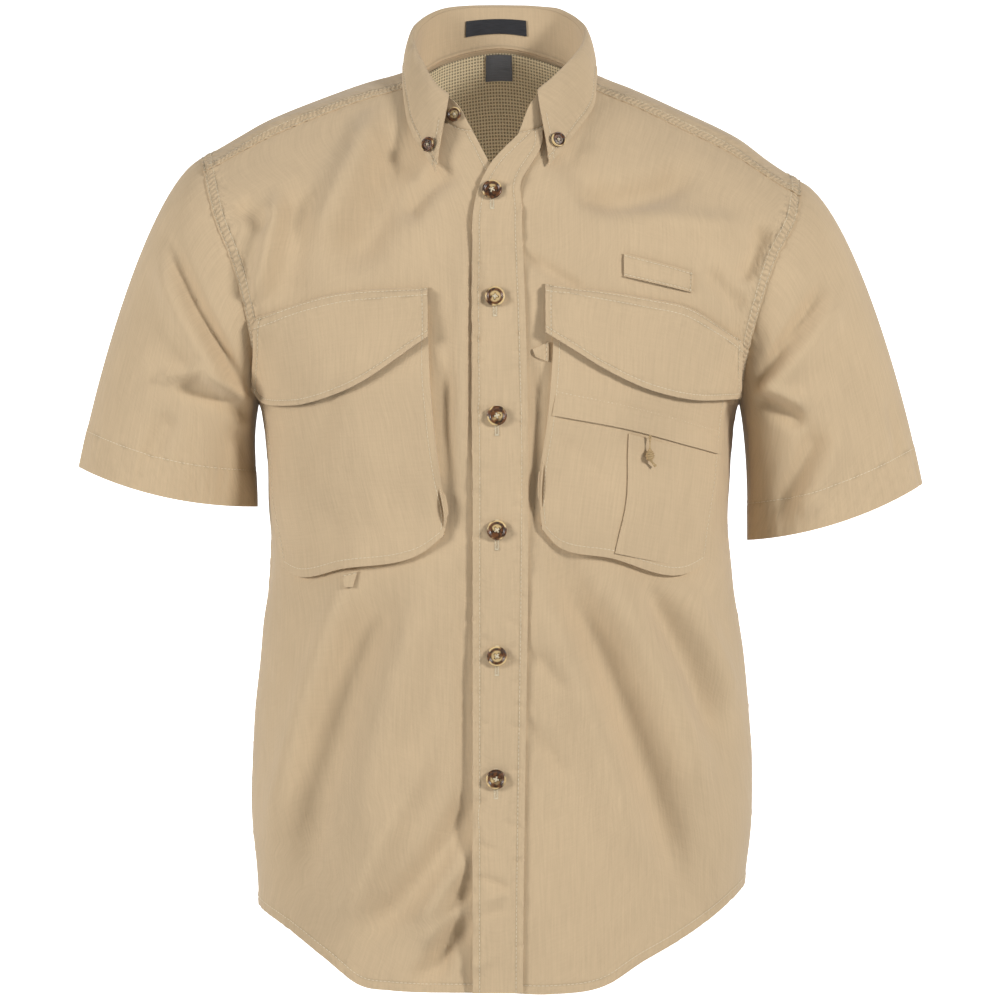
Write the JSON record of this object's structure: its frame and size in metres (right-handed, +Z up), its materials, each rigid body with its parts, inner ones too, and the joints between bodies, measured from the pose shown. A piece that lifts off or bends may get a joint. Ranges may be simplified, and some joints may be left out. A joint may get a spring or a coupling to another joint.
{
  "type": "button-down shirt",
  "caption": "Short-sleeved fishing-style button-down shirt of khaki cloth in its worn, hollow shape, with flap pockets on the chest, a button-down collar and a curved hem.",
  "frame": {"origin": "between the two high shoulder points at the sides of the neck, where the shirt is carried", "axes": "+Z up along the upright body, -Y out of the front where the buttons are, +X towards the wearer's left"},
  "size_m": [0.657, 0.2507, 0.7655],
  "materials": {
    "cloth": "matt plain-weave cotton",
    "net": "matt knitted net",
    "button": "polished, mottled like horn",
    "label": "satin weave",
    "cord": "braided cord"
  },
  "bodies": {
    "root": {"front_right": "cloth", "front_left": "cloth", "placket": "cloth", "yoke": "cloth", "back": "cloth", "back_mesh": "net", "sleeve_right": "cloth", "sleeve_left": "cloth", "collar_stand": "cloth", "collar": "cloth", "pocket_right": "cloth", "flap_right": "cloth", "pocket_left": "cloth", "flap_left": "cloth", "zip_fold": "cloth", "pen_pleat": "cloth", "rod_tab": "cloth", "loop_left": "cloth", "loop_right": "cloth", "zip_pull": "cord", "neck_label": "label", "care_label": "label", "button_1": "button", "button_2": "button", "button_3": "button", "button_4": "button", "button_5": "button", "button_6": "button", "button_band": "button", "button_collar_right": "button", "button_collar_left": "button"}
  },
  "joints": []
}
